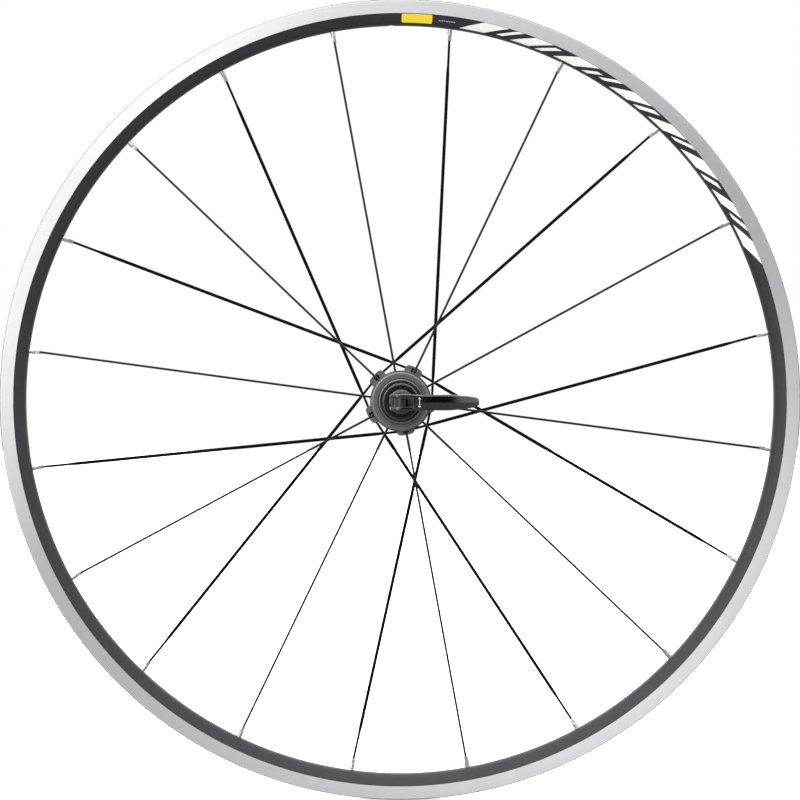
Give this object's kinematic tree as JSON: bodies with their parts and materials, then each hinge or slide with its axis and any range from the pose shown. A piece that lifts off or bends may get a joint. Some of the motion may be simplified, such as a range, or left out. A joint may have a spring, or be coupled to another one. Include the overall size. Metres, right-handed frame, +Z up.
{
  "type": "bicycle rear wheel",
  "caption": "Rear bicycle wheel with a shallow machined-track rim, flat-bladed and round straight-pull spokes, freehub and cam-lever quick-release skewer.",
  "frame": {"origin": "wheel centre: on the axle, in the middle plane of the rim", "axes": "+Y along the axle towards the drive side, +Z up; the quick-release lever is on the -Y side and points to +X"},
  "size_m": [0.6339, 0.1831, 0.6338],
  "materials": {
    "rim_black": "black anodised, with machined brake tracks",
    "machined_aluminium": "plain machined",
    "rim_tape": "woven tape",
    "grey_spoke": "drawn stainless wire",
    "black_spoke": "black oxide",
    "nipple_silver": "bright",
    "hub_grey": "dark grey anodised",
    "cap_grey": "satin grey anodised",
    "seal_rubber": "moulded",
    "spring_steel": "drawn wire",
    "tool_steel": "hardened, oiled",
    "axle_silver": "turned",
    "locknut_black": "black anodised",
    "bearing_steel": "ground",
    "ball_steel": "polished",
    "cage_brown": "moulded",
    "shield_black": "moulded on steel",
    "freehub_alloy": "hard anodised",
    "bushing_bronze": "turned",
    "end_cup_black": "satin",
    "saddle_polymer": "moulded",
    "rod_steel": "drawn",
    "barrel_steel": "dark plated",
    "lever_black": "gloss",
    "nut_black": "satin",
    "insert_nylon": "moulded"
  },
  "bodies": {
    "axle": {"axle": "axle_silver", "axle_spacer": "axle_silver", "left_locknut": "locknut_black", "right_locknut": "locknut_black", "left_bearing_inner_ring": "bearing_steel", "right_bearing_inner_ring": "bearing_steel", "freehub_bearing_inner_ring": "bearing_steel", "left_cone_spring": "spring_steel", "right_cone_spring": "spring_steel"},
    "wheel": {"rim": "rim_black", "rim_joint_sleeve": "machined_aluminium", "rim_tape": "rim_tape", "left_spokes": "grey_spoke", "leading_spokes": "black_spoke", "trailing_spokes": "black_spoke", "left_nipples": "nipple_silver", "right_nipples": "nipple_silver", "hub_shell": "hub_grey", "left_flange_cap": "cap_grey", "freehub_seal": "seal_rubber", "pawl_springs": "spring_steel", "left_bearing_outer_ring": "bearing_steel", "left_bearing_shields": "shield_black", "right_bearing_outer_ring": "bearing_steel", "right_bearing_shields": "shield_black"},
    "bearing_balls": {"left_bearing_balls": "ball_steel", "left_bearing_cage": "cage_brown", "right_bearing_balls": "ball_steel", "right_bearing_cage": "cage_brown", "freehub_bearing_balls": "ball_steel", "freehub_bearing_cage": "cage_brown"},
    "freehub": {"freehub_body": "freehub_alloy", "ratchet_ring": "tool_steel", "freehub_bushing": "bushing_bronze", "freehub_bearing_outer_ring": "bearing_steel", "freehub_bearing_shields": "shield_black"},
    "pawl_1": {"pawl_1": "tool_steel"},
    "pawl_2": {"pawl_2": "tool_steel"},
    "end_cup": {"end_cup": "end_cup_black", "cam_saddle": "saddle_polymer"},
    "skewer": {"skewer_rod": "rod_steel", "cam_barrel": "barrel_steel"},
    "lever": {"lever": "lever_black"},
    "lock_insert": {"nut_lock_insert": "insert_nylon"},
    "nut": {"skewer_nut": "nut_black", "nut_serrated_ring": "bearing_steel"}
  },
  "joints": [
    {"name": "wheel_spin", "type": "hinge", "parent": "axle", "child": "wheel", "pos_m": [0, 0, 0], "axis": [0, -1, 0], "continuous": true},
    {"name": "ball_orbit", "type": "hinge", "parent": "axle", "child": "bearing_balls", "pos_m": [0, 0, 0], "axis": [0, -1, 0], "continuous": true},
    {"name": "freehub_spin", "type": "hinge", "parent": "wheel", "child": "freehub", "pos_m": [0, 0.04, 0], "axis": [0, 1, 0], "continuous": true},
    {"name": "pawl_1_swing", "type": "hinge", "parent": "wheel", "child": "pawl_1", "pos_m": [0, 0.0276, 0.0102], "axis": [0, 1, 0], "range_deg": [0, 16], "stiffness_Nm_per_rad": 0.002, "deforming": ["pawl_springs"]},
    {"name": "pawl_2_swing", "type": "hinge", "parent": "wheel", "child": "pawl_2", "pos_m": [0, 0.0276, -0.0102], "axis": [0, 1, 0], "range_deg": [0, 16], "stiffness_Nm_per_rad": 0.002, "deforming": ["pawl_springs"]},
    {"name": "skewer_turn", "type": "hinge", "parent": "axle", "child": "end_cup", "pos_m": [0, -0.075, 0], "axis": [0, 1, 0], "continuous": true},
    {"name": "skewer_slide", "type": "slide", "parent": "end_cup", "child": "skewer", "axis": [0, 1, 0], "range_m": [0, 0.0024], "deforming": ["right_cone_spring"]},
    {"name": "lever_swing", "type": "hinge", "parent": "skewer", "child": "lever", "pos_m": [0, -0.08885, 0], "axis": [0, 0, -1], "range_deg": [0, 180]},
    {"name": "nut_travel", "type": "slide", "parent": "skewer", "child": "lock_insert", "axis": [0, 1, 0], "range_m": [0, 0.004], "deforming": ["right_cone_spring"]},
    {"name": "nut_turn", "type": "hinge", "parent": "lock_insert", "child": "nut", "pos_m": [0, 0.08, 0], "axis": [0, -1, 0], "range_deg": [0, 1800]}
  ],
  "couplings": [
    {"joint": "ball_orbit", "follows": "wheel_spin", "ratio": 0.58889},
    {"joint": "skewer_slide", "follows": "lever_swing", "m_per_rad": 0.00076394},
    {"joint": "nut_travel", "follows": "nut_turn", "m_per_rad": 0.00012732}
  ]
}
